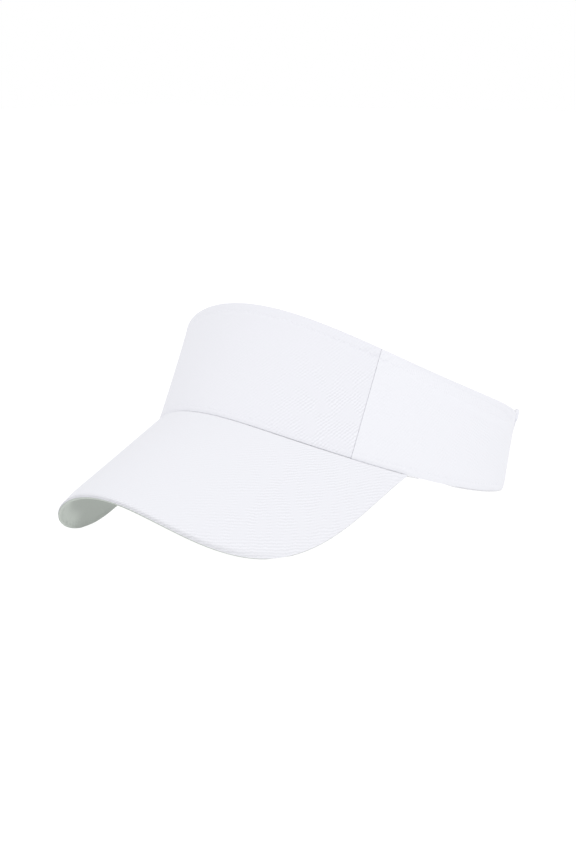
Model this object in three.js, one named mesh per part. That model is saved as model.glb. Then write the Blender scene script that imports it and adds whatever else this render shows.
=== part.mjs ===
// Sun visor: a three-panel cloth band, an arched bill and a hook-and-loop closure at the nape.
// Millimetres and radians. Front is -Y, the wearer's left is +X, up is +Z. The visor stands on
// the two low points of its bill and on the back of its band, as it does when put on a table,
// and the origin is on that surface, under the middle of the whole object.
import * as THREE from "three";

// ---- The band's two edges -----------------------------------------------------------------
// Angle t runs round the head opening: 0 at the forehead, PI at the nape, positive on the left.
// Each edge is an egg-shaped ring whose height is a sum of cosines, heights[k] * cos(k * t).
const LOWER_EDGE = {
  halfLength: 100.7,
  halfWidth: 83.9,
  middleY: -6.4,
  egg: -0.121, // widens the ring behind the temples
  square: -0.046, // fills out the temples themselves
  heights: [27.47, 29.63, 5.33, 1.7, -0.54, 0.33],
};
const UPPER_EDGE = {
  halfLength: 86.3,
  halfWidth: 88.8,
  middleY: 18.4,
  egg: 0.052,
  square: -0.0125,
  heights: [70.3, 38.0, 4.7, 2.38],
};
const FAN = 0.186; // how far the upper ends of the wall's straight lines are drawn forward

// ---- Band pieces: angles ------------------------------------------------------------------
const PANEL_SEAM = 0.964; // seam between the front panel and a side panel
const TAIL_END = Math.PI - 0.16; // where each side panel ends, leaving a gap at the nape
const LINING_END = TAIL_END - 0.02;
const SEAM_CLEARANCE = 0.002;
const STIFFENER_CLEARANCE = 0.01;
const SEAM_TAPE_HALF = 0.065;
const CORE_END = 1.5;

// ---- Band pieces: cloth layers, as distances outward from the band's outer face -----------
const PANEL_LAYER = [-0.6, 0];
const STIFFENER_LAYER = [-1.45, -0.85];
const LINING_LAYER = [-1.35, -0.85];
const TAPE_LAYER = [-2.2, -1.7];
const CORE_LAYER = [-2.3, -1.7];
const SWEATBAND_LAYER = [-3.5, -2.55];

// ---- Band pieces: heights up the wall -----------------------------------------------------
const PANEL_FOOT = 0.35;
const BACKING_FOOT = 0.9;
const EDGE_INSET = 0.8; // the inner layers stop this far below the top edge
const FACING_HEIGHT = 10;
const TAPE_CLEARANCE = 0.6;
const SWEATBAND_HEIGHT = 25;
const SWEATBAND_FRONT_RISE = 3;
const CORE_FOOT = 1.9;
const CORE_SHORT_OF_TOP = 2;

// ---- Sweatband's roll: behind the bill's corners it goes under the foot of the band -------
const ROLL_STARTS = 0.06; // behind the bill's corner, as an angle
const ROLL_IS_FULL = 0.18;
const ROLL_THICKNESS = 0.6;
const ROLL_MARGIN = 0.1; // between the roll's outer edge and the face it reaches towards
const CREASE_AT_BILL = 1.2; // height of the roll's inner corner
const CREASE_UNDER_PANEL = PANEL_FOOT - 0.3;
const CREASE_STEP = 0.02;
const ROLL_DROP_FROM = 2.4; // from this angle to the tail it thickens downwards
const ROLL_DROP_TO = TAIL_END - 0.05;
const ROLL_DROP_AT_NAPE = 1.4;
const ROLL_TILT_AT_NAPE = 0.9; // how much lower its inner edge is than its outer one

// ---- Bill ---------------------------------------------------------------------------------
const BILL_CORNER = 1.267; // angle where the bill's rim meets the band
const BILL_REACH = 70.35;
const RIM_SIDE_HANDLE = 54.2;
const RIM_SIDE_LEAN = -0.139;
const RIM_FRONT_HANDLE = 67.0;
const RIM_HEIGHTS = [19.0, -22.8, -7.1, 29.1, 29.1]; // after the corner's own height
const CLOTH = 0.6;
const PLY_GAP = 0.25;
const BOARD = 1.2;
const BILL_STACK = 2 * CLOTH + 2 * PLY_GAP + BOARD;
const BILL_SEAM_GAP = 0.4;
const LIP_GAP = 0.35; // between the top cover's turned-down lip and the plies inside it
const LEAST_LINE_ROOM = 0.02; // share of a line that a ply needs beside its lip
const FIRST_LINE = 0.02;
const LINE_SEARCH_STEP = 0.005;
const NEAREST_TO_MIDDLE = 1 - 2e-3; // the last line that is not the middle one itself

// ---- Closure ------------------------------------------------------------------------------
const STRAP_ROOT = 2 * Math.PI - TAIL_END - 0.005; // comes out of the right tail's end
const STRAP_TIP_TOP = 2.43; // the strap's end is cut at a slant, so its top corner leads
const STRAP_TIP_FOOT = 2.62;
const STRAP_THICKNESS = 1.3;
const STRAP_WIDTH = 26.5;
const STRAP_FOOT_AT_NAPE = 4.5;
const STRAP_RISE = 12; // how much higher on the wall the strap's tip sits than its root
const STRAP_TIP_HEIGHT = 6;
const STRAP_CORNER = 0.05; // rounding of the tip's top corner, as an angle
const STRAP_CORNER_DROP = 3; // and as a height
const STRAP_LIFT = { root: -1, tapes: 2.3, tip: 0.9 }; // of its inner face
const STRAP_LEAVES_TAIL = STRAP_ROOT - 0.05;
const STRAP_OVER_LEFT_TAIL = 2.99; // it has reached its full lift here
const LOOP_TAPE = { from: 2.66, to: 2.95, layer: [0.25, 1.0], inset: 3 };
const HOOK_TAPE = { from: 2.7, to: 2.91, layer: [1.3, 2.0], inset: 4.5 };

// ---- Care label ---------------------------------------------------------------------------
const LABEL_ANGLE = 2.0;
const LABEL_HALF = 0.11;
const LABEL_TOP = 21;
const LABEL_LENGTH = 15;
const LABEL_LAYER = [-4.3, -4.0];

// ---- Fineness of the model ----------------------------------------------------------------
const STEPS = {
  frontPanel: 26,
  sidePanel: 24,
  facingTape: 60,
  seamTape: 3,
  core: 36,
  sweatband: 72,
  billCover: 22,
  innerPly: 20,
  strap: 34,
  gripTape: 8,
  label: 5,
};
const DERIVATIVE_STEP = 1e-3;
const HALVINGS = 40;

const REST_LEVEL = 0.25; // whatever dips below this height is pressed flat against the surface
const SOLE_GIVE = 1.4; // points marked as a sole spread down to it from this much above it

// ---- Curves -------------------------------------------------------------------------------
function edgePoint(edge, t) {
  const swell = 1 + edge.egg * Math.cos(t) + edge.square * Math.cos(2 * t);
  const x = edge.halfWidth * Math.sin(t) * swell;
  const y = edge.middleY - edge.halfLength * Math.cos(t);
  const z = edge.heights.reduce((sum, height, k) => sum + height * Math.cos(k * t), 0);
  return new THREE.Vector3(x, y, z);
}

const lowerEdge = (t) => edgePoint(LOWER_EDGE, t);
const upperEdge = (t) => edgePoint(UPPER_EDGE, t - FAN * Math.sin(t));
const wallHeight = (t) => lowerEdge(t).distanceTo(upperEdge(t));

// 0 before `from`, 1 after `to`, and a smooth step between them.
const ease = (value, from, to) => THREE.MathUtils.smoothstep(value, from, to);
const mix = THREE.MathUtils.lerp;

// The unit normal of a surface given as a function of two parameters.
function normalOf(surface, a, b) {
  const step = DERIVATIVE_STEP;
  const alongA = surface(a + step, b).sub(surface(a - step, b));
  const alongB = surface(a, b + step).sub(surface(a, b - step));
  return alongA.cross(alongB).normalize();
}

// A point of the band's wall: h up its straight line from the lower edge, `out` clear of it.
function wallFace(t, h) {
  const foot = lowerEdge(t);
  const up = upperEdge(t).sub(foot).normalize();
  return foot.addScaledVector(up, h);
}

function wallPoint(t, h, out) {
  return wallFace(t, h).addScaledVector(normalOf(wallFace, t, h), out);
}

// ---- Solids -------------------------------------------------------------------------------
function pressFlat(point, sole) {
  const touches = point.z < REST_LEVEL + (sole ? SOLE_GIVE : 0);
  return touches ? point.setZ(REST_LEVEL) : point;
}

// Triangles that fill an outline, turned the way that the outline runs.
function fillOutline(outline) {
  const runs = Math.sign(THREE.ShapeUtils.area(outline));
  return THREE.ShapeUtils.triangulateShape(outline, []).map(([a, b, c]) => {
    const turn = THREE.ShapeUtils.area([outline[a], outline[b], outline[c]]);
    return Math.sign(turn) === runs ? [a, b, c] : [a, c, b];
  });
}

function signedVolume(points, faces) {
  const sum = faces.reduce((total, [a, b, c]) => {
    return total + points[a].dot(points[b].clone().cross(points[c]));
  }, 0);
  return sum / 6;
}

// One closed solid through a row of sections. A section is a list of [a, b] outline points, with
// a third value of true on those that are part of a sole, and the function that places them.
function loft(sections) {
  const size = sections[0].outline.length;
  const points = sections.flatMap(({ outline, place }) => {
    return outline.map((point) => pressFlat(place(point), point[2]));
  });
  const faces = [];
  for (let row = 0; row + 1 < sections.length; row++) {
    for (let i = 0; i < size; i++) {
      const next = (i + 1) % size;
      const [a, b] = [row * size + i, row * size + next];
      faces.push([a, b, b + size], [a, b + size, a + size]);
    }
  }
  const last = (sections.length - 1) * size;
  const flat = (section) => section.outline.map(([a, b]) => new THREE.Vector2(a, b));
  for (const [a, b, c] of fillOutline(flat(sections[0]))) faces.push([a, c, b]);
  for (const [a, b, c] of fillOutline(flat(sections.at(-1)))) {
    faces.push([last + a, last + b, last + c]);
  }
  if (signedVolume(points, faces) < 0) faces.forEach((face) => face.reverse());
  return new THREE.BufferGeometry().setFromPoints(points).setIndex(faces.flat());
}

// A strip of the band's wall between two angles. outlineAt(t) gives [h, out] points.
function wallStrip(from, to, steps, outlineAt) {
  const sections = [];
  for (let i = 0; i <= steps; i++) {
    const t = from + ((to - from) * i) / steps;
    sections.push({ outline: outlineAt(t), place: ([h, out]) => wallPoint(t, h, out) });
  }
  return loft(sections);
}

// The outline of one cloth layer between two heights, with its faces cut into `parts`.
function layerOutline(foot, top, [inner, outer], parts = 3) {
  const heights = Array.from({ length: parts + 1 }, (_, i) => foot + ((top - foot) * i) / parts);
  const outside = heights.map((h) => [h, outer]);
  const inside = heights.toReversed().map((h) => [h, inner]);
  return [...outside, ...inside];
}

// ---- Bill surface -------------------------------------------------------------------------
const rimCorner = lowerEdge(BILL_CORNER);
const rimPlan = new THREE.CubicBezierCurve(
  new THREE.Vector2(rimCorner.x, rimCorner.y),
  new THREE.Vector2(
    rimCorner.x + RIM_SIDE_HANDLE * Math.sin(RIM_SIDE_LEAN),
    rimCorner.y - RIM_SIDE_HANDLE * Math.cos(RIM_SIDE_LEAN),
  ),
  new THREE.Vector2(RIM_FRONT_HANDLE, lowerEdge(0).y - BILL_REACH),
  new THREE.Vector2(0, lowerEdge(0).y - BILL_REACH),
);

// A Bezier curve's value: each pass replaces the list by the points between its neighbours.
function bezier(values, u) {
  let row = values;
  while (row.length > 1) row = row.slice(1).map((value, i) => row[i] + (value - row[i]) * u);
  return row[0];
}

function rimPoint(u) {
  const plan = rimPlan.getPoint(u);
  return new THREE.Vector3(plan.x, plan.y, bezier([rimCorner.z, ...RIM_HEIGHTS], u));
}

// The angle at which the lower edge of the band is x wide, found by halving.
function bandAngleAt(x) {
  let [low, high] = [0, BILL_CORNER];
  for (let i = 0; i < HALVINGS; i++) {
    const middle = (low + high) / 2;
    if (lowerEdge(middle).x < x) low = middle;
    else high = middle;
  }
  return low;
}

// The straight line of the bill's surface that starts from the band and ends at the rim's u. It
// runs forward, and so does the room that a seam or an inset takes from either end of it.
function billLine(u) {
  const rim = rimPoint(u);
  const t = bandAngleAt(rim.x);
  const band = lowerEdge(t);
  const tangent = rimPlan.getTangent(u);
  const along = lowerEdge(t + DERIVATIVE_STEP).sub(lowerEdge(t - DERIVATIVE_STEP));
  return {
    rim,
    band,
    length: band.distanceTo(rim),
    rimSlant: Math.abs(tangent.x) / tangent.length(),
    bandSlant: Math.abs(along.x) / Math.hypot(along.x, along.y),
  };
}

// A point of the bill, v of the way from the band to the rim and `depth` below its upper face.
// The under face passes through the rim and the upper face through the seam with the band.
function billPoint(u, v, depth, side) {
  const face = (a, b) => {
    const { band, rim } = billLine(a);
    return band.lerp(rim, b);
  };
  const normal = normalOf(face, u, v);
  if (normal.z < 0) normal.negate();
  const point = face(u, v).addScaledVector(normal, BILL_STACK * v - depth);
  return point.setX(point.x * side);
}

// One ply of the bill from its left corner round to its right one. outlineAt(line) gives
// [v, depth] points, and the ply starts where its line first has room for them.
function billPly(steps, rimInset, outlineAt) {
  const room = (line) => {
    const near = BILL_SEAM_GAP / line.bandSlant / line.length;
    const far = 1 - rimInset / line.rimSlant / line.length;
    return { near, far, inset: (width) => width / line.rimSlant / line.length };
  };
  const hasRoom = (u) => {
    const { near, far, inset } = room(billLine(u));
    return far - near > inset(CLOTH + LIP_GAP) + LEAST_LINE_ROOM;
  };
  let start = FIRST_LINE;
  while (!hasRoom(start)) start += LINE_SEARCH_STEP;
  const sections = [];
  for (let i = -steps; i <= steps; i++) {
    const u = 1 - (Math.abs(i) / steps) * (1 - start);
    const nearMiddle = Math.min(u, NEAREST_TO_MIDDLE);
    const outline = outlineAt(room(billLine(nearMiddle)));
    const side = Math.sign(i);
    const place = ([v, depth]) => {
      const point = billPoint(nearMiddle, v, depth, side || 1);
      return side ? point : point.setX(0);
    };
    sections.push({ outline, place });
  }
  return loft(sections);
}

// [v, depth] points of a ply's faces, from the band to the rim and back.
function plyOutline({ near, far }, upper, lower, parts = 4) {
  const stops = Array.from({ length: parts + 1 }, (_, i) => near + ((far - near) * i) / parts);
  return [...stops.map((v) => [v, upper]), ...stops.toReversed().map((v) => [v, lower])];
}

// ---- Band pieces --------------------------------------------------------------------------
function panel(from, to, steps) {
  return wallStrip(from, to, steps, (t) => layerOutline(PANEL_FOOT, wallHeight(t), PANEL_LAYER));
}

function backing(from, to, steps, layer) {
  return wallStrip(from, to, steps, (t) => {
    return layerOutline(BACKING_FOOT, wallHeight(t) - EDGE_INSET, layer);
  });
}

function frontStiffener() {
  const edge = PANEL_SEAM - STIFFENER_CLEARANCE;
  return backing(-edge, edge, STEPS.frontPanel, STIFFENER_LAYER);
}

const sideLining = (from, to) => backing(from, to, STEPS.sidePanel, LINING_LAYER);

function facingTape() {
  return wallStrip(-TAIL_END, TAIL_END, STEPS.facingTape, (t) => {
    const top = wallHeight(t) - EDGE_INSET;
    return layerOutline(top - FACING_HEIGHT, top, TAPE_LAYER, 1);
  });
}

const sweatbandTop = (t) => SWEATBAND_HEIGHT + SWEATBAND_FRONT_RISE * Math.cos(t);

function seamTape(seam) {
  return wallStrip(seam - SEAM_TAPE_HALF, seam + SEAM_TAPE_HALF, STEPS.seamTape, (t) => {
    const top = wallHeight(t) - EDGE_INSET - FACING_HEIGHT - TAPE_CLEARANCE;
    return layerOutline(sweatbandTop(t) + TAPE_CLEARANCE, top, TAPE_LAYER, 2);
  });
}

function sweatbandCore() {
  return wallStrip(-CORE_END, CORE_END, STEPS.core, (t) => {
    return layerOutline(CORE_FOOT, sweatbandTop(t) - CORE_SHORT_OF_TOP, CORE_LAYER, 1);
  });
}

// The sweatband hangs behind the other layers. Behind the bill's corners it is also rolled
// under them, and near the nape that roll reaches down to what the visor stands on.
function sweatband() {
  const [inner, outer] = SWEATBAND_LAYER;
  const panelFace = PANEL_LAYER[1];
  return wallStrip(-TAIL_END, TAIL_END, STEPS.sweatband, (t) => {
    const angle = Math.abs(t);
    const rolled = ease(angle, BILL_CORNER + ROLL_STARTS, BILL_CORNER + ROLL_IS_FULL);
    const atNape = ease(angle, ROLL_DROP_FROM, ROLL_DROP_TO);
    const reach = mix(outer + ROLL_MARGIN, panelFace - ROLL_MARGIN, rolled);
    const crease = mix(CREASE_AT_BILL, CREASE_UNDER_PANEL, rolled);
    const foot = crease - ROLL_THICKNESS - ROLL_DROP_AT_NAPE * atNape;
    const top = sweatbandTop(t);
    return [
      [top, inner],
      [top, outer],
      [crease, outer],
      [crease - CREASE_STEP, reach],
      [foot, reach],
      [foot - ROLL_TILT_AT_NAPE * atNape, inner, true],
    ];
  });
}

// ---- Bill pieces --------------------------------------------------------------------------
// The top cover is turned down over the rim of the plies under it.
function billCoverTop() {
  return billPly(STEPS.billCover, 0, (room) => {
    const lip = room.far - room.inset(CLOTH);
    const stops = [0, 1 / 3, 2 / 3, 1].map((part) => mix(room.near, lip, part));
    return [
      ...stops.map((v) => [v, 0]),
      [1, 0],
      [1, BILL_STACK],
      [lip, BILL_STACK, true],
      ...stops.toReversed().map((v) => [v, CLOTH]),
    ];
  });
}

const innerPlyInset = CLOTH + LIP_GAP;

function billBoard() {
  const top = CLOTH + PLY_GAP;
  return billPly(STEPS.innerPly, innerPlyInset, (room) => plyOutline(room, top, top + BOARD));
}

function billCoverUnder() {
  const top = BILL_STACK - CLOTH;
  return billPly(STEPS.innerPly, innerPlyInset, (room) => plyOutline(room, top, BILL_STACK));
}

// ---- Closure pieces -----------------------------------------------------------------------
// The strap climbs the wall from its root to its tip, as the band's own edges do. Its root is
// held between the right side panel and its lining.
function strapSpan(t) {
  const foot = STRAP_FOOT_AT_NAPE + STRAP_RISE * ease(-t, -Math.PI, -STRAP_TIP_TOP);
  return { foot, top: foot + STRAP_WIDTH };
}

function strapLift(t) {
  const overGap = ease(-t, -STRAP_LEAVES_TAIL, -STRAP_OVER_LEFT_TAIL);
  const pastTapes = ease(-t, -LOOP_TAPE.from, -STRAP_TIP_TOP);
  return mix(STRAP_LIFT.root, mix(STRAP_LIFT.tapes, STRAP_LIFT.tip, pastTapes), overGap);
}

// How much of a corner's rounding is left at this distance from the strap's end, from 1 to 0.
function cornerCut(distance) {
  const left = THREE.MathUtils.clamp(1 - distance / STRAP_CORNER, 0, 1);
  return 1 - Math.sqrt(1 - left * left);
}

function closureStrap() {
  const slanted = STRAP_TIP_FOOT - STRAP_TIP_TOP;
  return wallStrip(STRAP_TIP_TOP, STRAP_ROOT, STEPS.strap, (t) => {
    const { foot, top } = strapSpan(t);
    const slant = Math.max((STRAP_TIP_FOOT - t) / slanted, 0);
    const low = foot + (STRAP_WIDTH - STRAP_TIP_HEIGHT) * slant;
    const high = top - STRAP_CORNER_DROP * cornerCut(t - STRAP_TIP_TOP);
    const lift = strapLift(t);
    return layerOutline(low, high, [lift, lift + STRAP_THICKNESS]);
  });
}

function gripTape({ from, to, layer, inset }) {
  return wallStrip(from, to, STEPS.gripTape, (t) => {
    const { foot, top } = strapSpan(t);
    return layerOutline(foot + inset, top - inset, layer, 2);
  });
}

function careLabel() {
  return wallStrip(LABEL_ANGLE - LABEL_HALF, LABEL_ANGLE + LABEL_HALF, STEPS.label, () => {
    return layerOutline(LABEL_TOP - LABEL_LENGTH, LABEL_TOP, LABEL_LAYER, 1);
  });
}

// ---- Assembly -----------------------------------------------------------------------------
const TWILL = { color: 0xf3f4fa, roughness: 0.88, metalness: 0 };
const LINING = { color: 0xeeeef0, roughness: 0.92, metalness: 0 };
const TERRY = { color: 0xf1f0ec, roughness: 0.97, metalness: 0 };
const BUCKRAM = { color: 0xe6e4dc, roughness: 0.8, metalness: 0 };
const FOAM = { color: 0xdfdccf, roughness: 0.95, metalness: 0 };
const PLASTIC = { color: 0xd8d9d6, roughness: 0.45, metalness: 0 };
const GRIP = { color: 0xf0f0f0, roughness: 0.75, metalness: 0 };
const SATIN = { color: 0xfafafa, roughness: 0.4, metalness: 0 };

const visor = new THREE.Group();

function add(name, geometry, finish) {
  const mesh = new THREE.Mesh(geometry, new THREE.MeshStandardMaterial(finish));
  mesh.name = name;
  visor.add(mesh);
}

const around = 2 * Math.PI;
const frontEdge = PANEL_SEAM - SEAM_CLEARANCE;
const sideEdge = PANEL_SEAM + SEAM_CLEARANCE;

add("front_panel", panel(-frontEdge, frontEdge, STEPS.frontPanel), TWILL);
add("side_panel_left", panel(sideEdge, TAIL_END, STEPS.sidePanel), TWILL);
add("side_panel_right", panel(around - TAIL_END, around - sideEdge, STEPS.sidePanel), TWILL);
add("front_stiffener", frontStiffener(), BUCKRAM);
add("side_lining_left", sideLining(sideEdge, LINING_END), LINING);
add("side_lining_right", sideLining(around - LINING_END, around - sideEdge), LINING);
add("seam_tape_left", seamTape(PANEL_SEAM), LINING);
add("seam_tape_right", seamTape(-PANEL_SEAM), LINING);
add("top_facing_tape", facingTape(), LINING);
add("sweatband_core", sweatbandCore(), FOAM);
add("sweatband", sweatband(), TERRY);
add("bill_cover_top", billCoverTop(), TWILL);
add("bill_board", billBoard(), PLASTIC);
add("bill_cover_under", billCoverUnder(), TWILL);
add("closure_strap", closureStrap(), TWILL);
add("loop_tape", gripTape(LOOP_TAPE), GRIP);
add("hook_tape", gripTape(HOOK_TAPE), GRIP);
add("care_label", careLabel(), SATIN);

// The whole is moved so that the origin lies under its middle, on the resting surface.
const box = new THREE.Box3().setFromObject(visor);
const middle = box.getCenter(new THREE.Vector3());
const assembly = new THREE.Group();
assembly.add(visor);
visor.position.set(-middle.x, -middle.y, -box.min.z);

export default assembly;
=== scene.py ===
"""Sun visor: the looks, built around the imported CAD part. Shapes are worked out in millimetres."""

import math

import bpy
import numpy as np
from mathutils import Matrix, Vector


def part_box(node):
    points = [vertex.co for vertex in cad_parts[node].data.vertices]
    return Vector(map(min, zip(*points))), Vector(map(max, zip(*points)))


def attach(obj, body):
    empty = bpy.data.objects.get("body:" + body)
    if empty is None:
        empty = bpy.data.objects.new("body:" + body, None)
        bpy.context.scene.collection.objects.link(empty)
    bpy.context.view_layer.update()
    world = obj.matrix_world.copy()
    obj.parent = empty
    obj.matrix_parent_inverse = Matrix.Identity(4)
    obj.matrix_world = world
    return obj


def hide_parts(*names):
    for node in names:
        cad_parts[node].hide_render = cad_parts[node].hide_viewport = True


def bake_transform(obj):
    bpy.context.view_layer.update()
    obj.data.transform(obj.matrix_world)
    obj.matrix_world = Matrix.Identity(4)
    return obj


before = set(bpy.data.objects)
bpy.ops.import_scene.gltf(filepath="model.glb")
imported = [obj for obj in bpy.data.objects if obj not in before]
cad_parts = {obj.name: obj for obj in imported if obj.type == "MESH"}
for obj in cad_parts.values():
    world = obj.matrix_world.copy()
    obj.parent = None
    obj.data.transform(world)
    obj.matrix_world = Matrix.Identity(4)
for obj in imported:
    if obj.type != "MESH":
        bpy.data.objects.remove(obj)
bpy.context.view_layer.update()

MM = 0.001

# ---- The band's and the bill's curves, as the CAD part has them ----
LOWER = dict(length=100.7, width=83.9, middle=-6.4, egg=-0.121, square=-0.046,
             heights=(27.47, 29.63, 5.33, 1.7, -0.54, 0.33))
UPPER = dict(length=86.3, width=88.8, middle=18.4, egg=0.052, square=-0.0125,
             heights=(70.3, 38.0, 4.7, 2.38))
FAN = 0.186  # radians that the upper edge's points lie further forward at the sides
SEAM = 0.964  # angle of the seam between the front panel and a side panel
TAIL = math.pi - 0.16  # angle at which a side panel ends
CORNER = 1.267  # angle at which the bill's rim meets the band
REACH = 70.35  # of the bill in front of the band
SIDE_HANDLE, SIDE_LEAN, FRONT_HANDLE = 54.2, -0.139, 67.0  # of the rim's curve, in plan
RIM_HEIGHTS = (19.0, -22.8, -7.1, 29.1, 29.1)
STACK = 2.9  # thickness of the bill
PLY = 0.6  # thickness of the twill
BILL_RIB, BILL_STEEP = 1.27, 54  # mm between the ribs of the bill's twill, and their slant in degrees
RIM_SHADE = (50.0, 105.0)  # mm left of the bill's middle between which the painted shade on its rim, and the height of its ribs there, fade
AROUND = 85  # mm round the band's wall for each radian, roughly
STEP = 1e-3
FULL = 2 * math.pi


def edge_point(edge, t):
    swell = 1 + edge["egg"] * np.cos(t) + edge["square"] * np.cos(2 * t)
    z = sum(height * np.cos(k * t) for k, height in enumerate(edge["heights"]))
    return np.stack([edge["width"] * np.sin(t) * swell,
                     edge["middle"] - edge["length"] * np.cos(t), z], -1)


def lower_edge(t):
    return edge_point(LOWER, t)


def upper_edge(t):
    return edge_point(UPPER, t - FAN * np.sin(t))


def wall_top(t):
    return np.linalg.norm(upper_edge(t) - lower_edge(t), axis=-1)


def unit(v):
    return v / np.maximum(np.linalg.norm(v, axis=-1, keepdims=True), 1e-9)


def wall_face(t, h):
    foot = lower_edge(t)
    return foot + unit(upper_edge(t) - foot) * h[..., None]


def wall_normal(t, h):
    along = wall_face(t + STEP, h) - wall_face(t - STEP, h)
    return unit(np.cross(along, wall_face(t, h + STEP) - wall_face(t, h - STEP)))


def wall(t, h, out):
    """The point h up the band's wall at angle t, `out` clear of its outer face."""
    t, h, out = (np.asarray(a, float) for a in np.broadcast_arrays(t, h, out))
    return wall_face(t, h) + wall_normal(t, h) * out[..., None]


def ease(x, low, high):
    x = np.clip((x - low) / (high - low), 0, 1)
    return x * x * (3 - 2 * x)


def mix(a, b, share):
    return a + (b - a) * share


def bell(x, width):
    return np.exp(-((x / width) ** 2))


def spread(first, last, count):
    """A row of evenly spaced values."""
    return np.linspace(first, last, count)[None]


def in_a_row(*parts):
    return np.concatenate(parts, 1)


def constant(value):
    """A height or a lift that is the same everywhere."""
    return lambda t, h=0: value + 0 * t


# The CAD part stands with its origin under its middle: this is how far that moved it.
panel_low, panel_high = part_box("front_panel")
SHIFT = np.array([0.0,
                  panel_low.y / MM - wall(0.0, 0.35, 0.0)[1],
                  panel_high.z / MM - upper_edge(0.0)[2]])

# ---- Meshes ----


def add_map(mesh, name, values):
    """Stores two values a point as a map that a material can read."""
    layer = mesh.uv_layers.new(name=name)
    corners = np.zeros(len(mesh.loops), int)
    mesh.loops.foreach_get("vertex_index", corners)
    layer.data.foreach_set("uv", values.reshape(-1, 2)[corners].astype(np.float32).ravel())


def new_piece(name, points, faces, cloth=None):
    """A mesh object from millimetre points. cloth gives each point's place on the flat cloth."""
    mesh = bpy.data.meshes.new(name)
    mesh.from_pydata(((points + SHIFT) * MM).tolist(), [], faces)
    mesh.validate()
    if cloth is not None:
        add_map(mesh, "cloth", cloth)
    mesh.shade_smooth()
    mesh.set_sharp_from_angle(angle=math.radians(60))
    piece = bpy.data.objects.new(name, mesh)
    bpy.context.scene.collection.objects.link(piece)
    return piece


def ring_faces(rows, size):
    i, j = np.meshgrid(np.arange(rows - 1), np.arange(size), indexing="ij")
    a, b = i * size + j, i * size + (j + 1) % size
    return np.stack([a, b, b + size, a + size], -1).reshape(-1, 4).tolist()


def end_caps(rows, size):
    """The caps at both ends of the rings, wound like the ring faces."""
    return [list(range(size))[::-1], list(range((rows - 1) * size, rows * size))]


def facing_out(points, faces):
    """The same faces, all turned over if they face into the solid."""
    quads = np.array([f for f in faces if len(f) == 4])
    a, b, c, d = (points[quads[:, k]] for k in range(4))
    middle = points.mean(0)
    volume = ((a - middle) * np.cross(b - middle, c - middle)).sum()
    volume += ((a - middle) * np.cross(c - middle, d - middle)).sum()
    return [f[::-1] for f in faces] if volume < 0 else faces


def loft(name, rings, cloth):
    """A closed solid through rings, an array of sections by points by 3."""
    points = rings.reshape(-1, 3)
    faces = ring_faces(*rings.shape[:2]) + end_caps(*rings.shape[:2])
    return new_piece(name, points, facing_out(points, faces), cloth.reshape(-1, 2))


class Row:
    """A line on the band's wall, measured along its length: stitches and cloth follow it."""

    def __init__(self, low, high, height):
        self.t = np.linspace(low, high, 3001)
        points = wall(self.t, height(self.t), 0.0)
        gaps = np.linalg.norm(np.diff(points, axis=0), axis=1)
        self.s = np.concatenate([[0], np.cumsum(gaps)])
        self.length = self.s[-1]

    def angle(self, s):
        return np.interp(s, self.s, self.t)

    def place(self, t):
        return np.interp(t, self.t, self.s)


STITCH = 2.9  # mm from one needle hole to the next
TOP_ROW_DROP = 5.0  # the row of stitches below the top edge
FOOT_ROW_RISE = 3.6


def top_height(t):
    return wall_top(t) - TOP_ROW_DROP


top_row = Row(-TAIL, TAIL, top_height)
foot_row = Row(-TAIL, TAIL, constant(FOOT_ROW_RISE))


def needle_row(row, t, h, row_height, pull, hole):
    """How a row of stitches draws the cloth in: a soft valley with a dimple at each needle hole."""
    d = h - row_height
    s = row.place(t)
    along = (s + STITCH / 2) % STITCH - STITCH / 2
    hole = hole * (1 + 0.5 * np.sin(0.83 * s) * np.sin(0.31 * s + 1))
    valley = bell(d, 1.5) * (1 + 0.2 * np.cos(FULL * s / STITCH))
    return -pull * valley - hole * bell(along, 0.36) * bell(d, 0.36)


def waves(t, h, seed, size):
    """Slow, low undulation of hand-pressed cloth, mostly between -1 and 1."""
    draw = np.random.default_rng(seed)
    total = np.zeros(np.broadcast(t, h).shape)
    for _ in range(7):
        angle, phase = draw.uniform(0, FULL, 2)
        reach = size * draw.uniform(0.7, 1.6)
        total += np.sin((AROUND * t * math.cos(angle) + h * math.sin(angle)) / reach + phase)
    return total / 4


def seam_relief(side, h, under, slack):
    """Puckers beside a side seam, and the front panel's corner, drawn in above its stitches."""
    to_seam = np.abs(side - SEAM) * AROUND
    pucker = np.exp(-to_seam / 4.0) * np.sin(FULL * h / 3.3 + 1.1 * np.sin(h / 7))
    ripple = np.sin(FULL * (under * 0.9 + 60 * (side - SEAM)) / 4.2)
    near_top = bell(to_seam, 9) * bell(under - 4.5, 3.5)
    corner = bell((SEAM - side) * AROUND - 7, 6) * bell(under - 4.8, 2.2)
    return (0.045 * pucker * ease(h, 1.5, 5) + mix(0.3, 0.1, slack) * near_top * ripple
            - 0.35 * (1 - slack) * corner)


def band_relief(t, h, seed):
    """Outward displacement of a panel's outer face."""
    under = wall_top(t) - h
    side = np.abs(t)
    slack = ease(side, SEAM, 1.15)
    hole = mix(0.08 + 0.38 * bell(side - SEAM, 0.4), 0.05, slack)
    out = needle_row(top_row, t, h, top_height(t), mix(0.13, 0.05, slack), hole)
    out += needle_row(foot_row, t, h, FOOT_ROW_RISE, 0.07, 0.16)
    valley = ease(side, 1.0, 1.3) * (1 - ease(side, 1.95, 2.3))
    out -= 1.1 * valley * bell(under - 4.6 - 3 * (side - 1.3), 3.1)
    out -= 0.5 * ease(3.4 - h, 0, 3.1) ** 2
    out += seam_relief(side, h, under, slack)
    return out + 0.13 * waves(t, h, seed, 9) * ease(under, 0.5, 6) * ease(h, 0.5, 6)


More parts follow.
